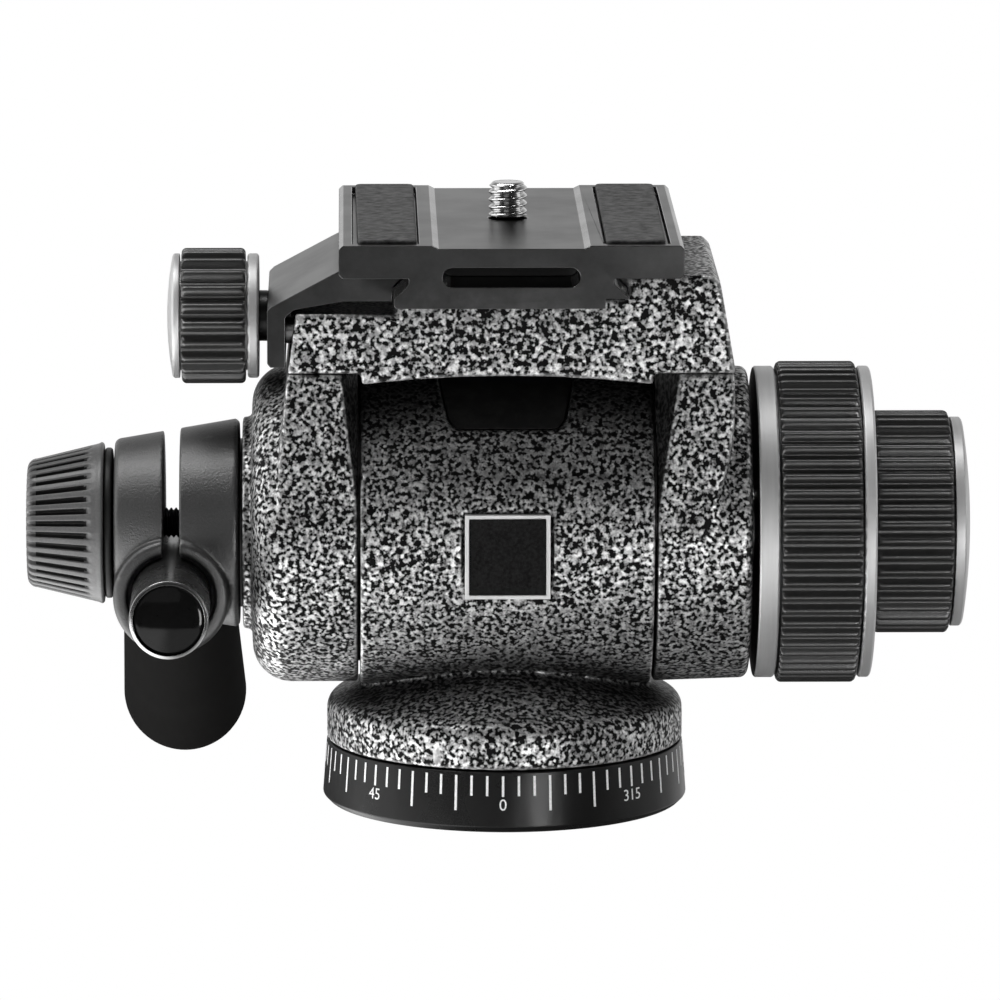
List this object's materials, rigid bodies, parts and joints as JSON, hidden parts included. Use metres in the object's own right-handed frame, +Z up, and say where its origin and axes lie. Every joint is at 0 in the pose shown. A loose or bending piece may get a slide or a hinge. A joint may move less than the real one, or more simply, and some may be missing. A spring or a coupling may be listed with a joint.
{
  "type": "two-way fluid head",
  "caption": "Two-way fluid head with a graduated pan base, a tilting yoke, a sliding dovetail camera plate, ribbed lock knobs and a bent pan handle in a split clamp.",
  "frame": {"origin": "centre of the tripod socket's mouth, in the base's lower face, on the pan axis", "axes": "+Z up along the pan axis, +X along the tilt axis to the lock knobs, -Y to the front"},
  "size_m": [0.1564, 0.1466, 0.1164],
  "materials": {
    "noir_paint": "painted, fine black and grey speckle, satin",
    "black_paint": "painted, satin black",
    "dial_black": "painted, satin black with white scale",
    "anodised": "dark anodised, satin",
    "bright_metal": "turned, satin",
    "steel": "turned",
    "black_steel": "blackened",
    "zinc_steel": "zinc plated",
    "bronze": "oiled bearing bronze",
    "grip_rubber": "matte, ribbed",
    "pad_rubber": "matte, fine grain",
    "knob_plastic": "moulded, satin",
    "black_plastic": "moulded",
    "plug_plastic": "gloss black",
    "slide_plastic": "white bearing plastic"
  },
  "bodies": {
    "base": {"pan_dial": "dial_black", "tripod_bush": "steel", "pan_spindle": "steel", "base_screws": "steel", "pan_nut": "steel", "pan_spring_washer": "steel", "pan_drag_cup": "anodised", "pan_thrust_washer": "slide_plastic"},
    "pan_body": {"pan_housing": "noir_paint", "pan_bush": "bronze", "pan_drag_drum": "anodised", "top_cover": "black_plastic", "badge_frame": "bright_metal", "badge_plate": "black_plastic", "tilt_axle": "steel", "tilt_drag_drum": "anodised"},
    "pan_brake": {"pan_brake_shoe": "bronze"},
    "tilt_yoke": {"left_cheek": "noir_paint", "right_cheek": "noir_paint", "platform": "noir_paint", "platform_screws": "steel", "left_bush": "bronze", "right_bush": "bronze", "tilt_drag_cup": "anodised", "tilt_brake_disc": "grip_rubber", "clamp_friction_ring": "grip_rubber", "clamp_stud": "black_steel"},
    "tilt_brake": {"tilt_pressure_plate": "steel"},
    "pan_lock": {"pan_lock_hub": "black_paint", "pan_lock_grip": "grip_rubber", "pan_lock_inner_ring": "bright_metal", "pan_lock_outer_ring": "bright_metal", "pan_lock_sleeve": "steel"},
    "tilt_lock": {"tilt_lock_hub": "black_paint", "tilt_lock_grip": "grip_rubber", "tilt_lock_cap": "bright_metal"},
    "jaw": {"clamp_jaw": "anodised", "jaw_guide_pins": "steel"},
    "qr_knob": {"qr_screw": "black_steel", "jaw_clip": "steel", "qr_knob_core": "bright_metal", "qr_knob_grip": "grip_rubber", "qr_knob_cap": "bright_metal"},
    "plate": {"camera_plate": "anodised", "left_pad": "pad_rubber", "right_pad": "pad_rubber"},
    "camera_screw": {"camera_screw": "zinc_steel"},
    "handle_clamp": {"handle_clamp": "black_paint"},
    "clamp_collar": {"clamp_collar": "black_plastic"},
    "clamp_knob": {"clamp_knob": "knob_plastic", "clamp_knob_insert": "bronze"},
    "handle": {"handle_bar": "black_paint", "handle_plug": "plug_plastic", "handle_grip": "grip_rubber"}
  },
  "joints": [
    {"name": "pan", "type": "hinge", "parent": "base", "child": "pan_body", "pos_m": [0, 0, 0], "axis": [0, 0, 1], "continuous": true},
    {"name": "tilt", "type": "hinge", "parent": "pan_body", "child": "tilt_yoke", "pos_m": [0, 0, 0.0464], "axis": [1, 0, 0], "range_deg": [-75, 90]},
    {"name": "pan_lock_turn", "type": "hinge", "parent": "pan_body", "child": "pan_lock", "pos_m": [0, 0, 0.0464], "axis": [1, 0, 0], "range_deg": [0, 90]},
    {"name": "pan_brake_travel", "type": "slide", "parent": "pan_body", "child": "pan_brake", "axis": [0, 0, 1], "range_m": [-0.0003, 0]},
    {"name": "tilt_lock_turn", "type": "hinge", "parent": "pan_body", "child": "tilt_lock", "pos_m": [0, 0, 0.0464], "axis": [1, 0, 0], "range_deg": [0, 90]},
    {"name": "tilt_brake_travel", "type": "slide", "parent": "pan_body", "child": "tilt_brake", "axis": [1, 0, 0], "range_m": [0, 0.0003]},
    {"name": "jaw_travel", "type": "slide", "parent": "tilt_yoke", "child": "jaw", "axis": [-1, 0, 0], "range_m": [0, 0.004]},
    {"name": "qr_knob_turn", "type": "hinge", "parent": "jaw", "child": "qr_knob", "pos_m": [-0.045, 0, 0.0812], "axis": [-1, 0, 0], "range_deg": [0, 1445]},
    {"name": "plate_slide", "type": "slide", "parent": "tilt_yoke", "child": "plate", "axis": [0, 1, 0], "range_m": [-0.012, 0.012]},
    {"name": "camera_screw_turn", "type": "hinge", "parent": "plate", "child": "camera_screw", "pos_m": [0.0004, 0, 0.095], "axis": [0, 0, 1], "continuous": true},
    {"name": "handle_swing", "type": "hinge", "parent": "tilt_yoke", "child": "handle_clamp", "pos_m": [0, 0, 0.0464], "axis": [1, 0, 0], "range_deg": [-60, 60]},
    {"name": "collar_travel", "type": "slide", "parent": "handle_clamp", "child": "clamp_collar", "axis": [-1, 0, 0], "range_m": [0, 0.002]},
    {"name": "clamp_knob_turn", "type": "hinge", "parent": "clamp_collar", "child": "clamp_knob", "pos_m": [-0.07, 0, 0.0464], "axis": [-1, 0, 0], "range_deg": [0, 725]},
    {"name": "handle_slide", "type": "slide", "parent": "handle_clamp", "child": "handle", "axis": [0, 1, 0], "range_m": [-0.004, 0.018]}
  ],
  "couplings": [
    {"joint": "pan_brake_travel", "follows": "pan_lock_turn", "m_per_rad": -0.00019},
    {"joint": "tilt_brake_travel", "follows": "tilt_lock_turn", "m_per_rad": 0.00019},
    {"joint": "qr_knob_turn", "follows": "jaw_travel", "rad_per_m": 6283.2},
    {"joint": "clamp_knob_turn", "follows": "collar_travel", "rad_per_m": 6283.2}
  ]
}
